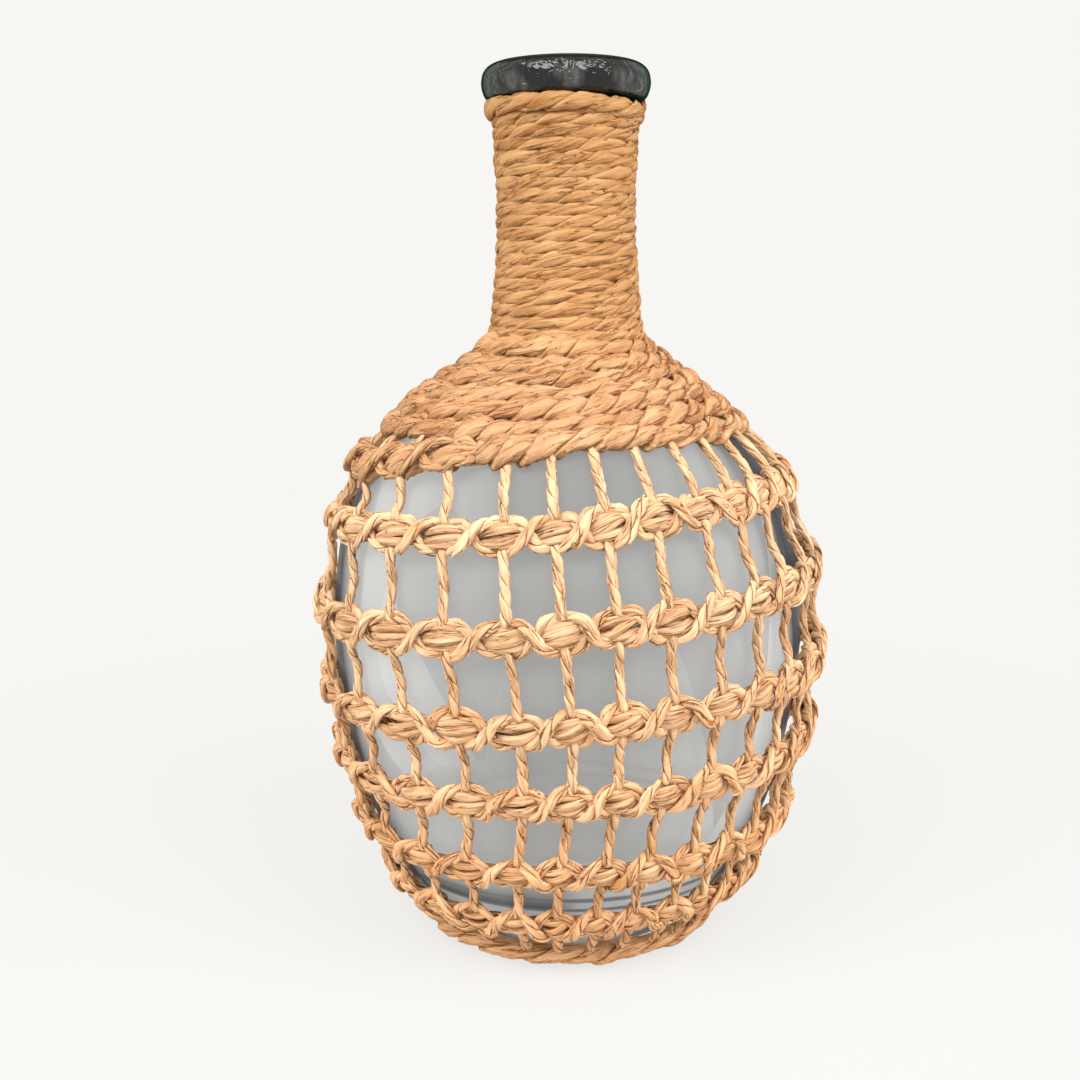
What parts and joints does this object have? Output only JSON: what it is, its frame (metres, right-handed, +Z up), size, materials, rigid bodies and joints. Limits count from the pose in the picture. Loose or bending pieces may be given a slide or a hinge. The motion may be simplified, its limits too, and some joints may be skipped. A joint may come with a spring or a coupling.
{
  "type": "rope-netted bottle",
  "caption": "Round glass bottle with a tall open neck, wound with paper rope at the neck and shoulder and dressed in an open rope net down to its base.",
  "frame": {"origin": "centre of the flat base that the bottle stands on", "axes": "+Z up along the bottle's axis, towards the mouth; -Y is the front in the picture"},
  "size_m": [0.2265, 0.2253, 0.373],
  "materials": {
    "glass": "smooth hand-blown grey-green glass",
    "neck_rope": "matt twisted paper rope, tan",
    "net_rope": "matt twisted paper rope, light tan"
  },
  "bodies": {
    "root": {"glass_bottle": "glass", "neck_wrap": "neck_rope", "shoulder_row_1": "neck_rope", "shoulder_row_2": "neck_rope", "shoulder_row_3": "neck_rope", "shoulder_row_4": "neck_rope", "shoulder_row_5": "neck_rope", "shoulder_row_6": "neck_rope", "shoulder_row_7": "neck_rope", "warp_01": "net_rope", "warp_02": "net_rope", "warp_03": "net_rope", "warp_04": "net_rope", "warp_05": "net_rope", "warp_06": "net_rope", "warp_07": "net_rope", "warp_08": "net_rope", "warp_09": "net_rope", "warp_10": "net_rope", "warp_11": "net_rope", "warp_12": "net_rope", "warp_13": "net_rope", "warp_14": "net_rope", "warp_15": "net_rope", "warp_16": "net_rope", "warp_17": "net_rope", "warp_18": "net_rope", "warp_19": "net_rope", "warp_20": "net_rope", "warp_21": "net_rope", "warp_22": "net_rope", "warp_23": "net_rope", "warp_24": "net_rope", "warp_25": "net_rope", "warp_26": "net_rope", "warp_27": "net_rope", "warp_28": "net_rope", "band_1_core": "net_rope", "band_1_lacing_a": "net_rope", "band_1_lacing_b": "net_rope", "band_2_core": "net_rope", "band_2_lacing_a": "net_rope", "band_2_lacing_b": "net_rope", "band_3_core": "net_rope", "band_3_lacing_a": "net_rope", "band_3_lacing_b": "net_rope", "band_4_core": "net_rope", "band_4_lacing_a": "net_rope", "band_4_lacing_b": "net_rope", "band_5_core": "net_rope", "band_5_lacing_a": "net_rope", "band_5_lacing_b": "net_rope", "band_6_core": "net_rope", "band_6_lacing_a": "net_rope", "band_6_lacing_b": "net_rope", "base_ring": "neck_rope"}
  },
  "joints": []
}
